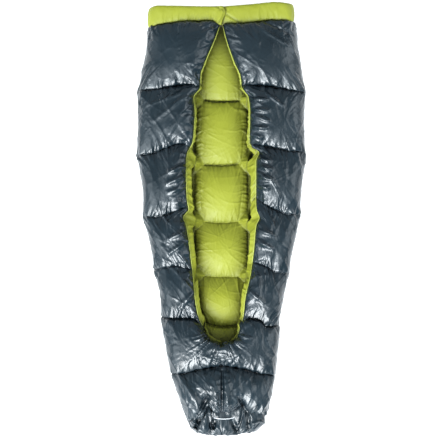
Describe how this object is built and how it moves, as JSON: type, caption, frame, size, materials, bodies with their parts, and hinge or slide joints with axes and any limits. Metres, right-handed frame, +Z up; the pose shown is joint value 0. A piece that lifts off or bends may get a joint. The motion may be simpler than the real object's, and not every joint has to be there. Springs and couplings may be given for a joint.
{
  "type": "backpacking quilt",
  "caption": "Down backpacking quilt on its back, its two wings folded over the front and sewn into a footbox, with a keyhole opening, sewn channels across and a soft collar.",
  "frame": {"origin": "middle of the bounding box, on the surface that the quilt lies on", "axes": "+Y from the foot to the head along the quilt, +Z up through its thickness, +X across to the quilt's right side as seen from above"},
  "size_m": [0.762, 1.94, 0.1389],
  "materials": {
    "shell_nylon": "glossy dark slate woven nylon",
    "lining_nylon": "satin yellow-green woven nylon",
    "pale_piping": "pale grey piping"
  },
  "bodies": {
    "root": {"quilt_body": "shell_nylon", "lining": "lining_nylon", "collar": "lining_nylon", "foot_panel": "shell_nylon", "edge_binding": "lining_nylon", "foot_piping": "pale_piping"}
  },
  "joints": []
}
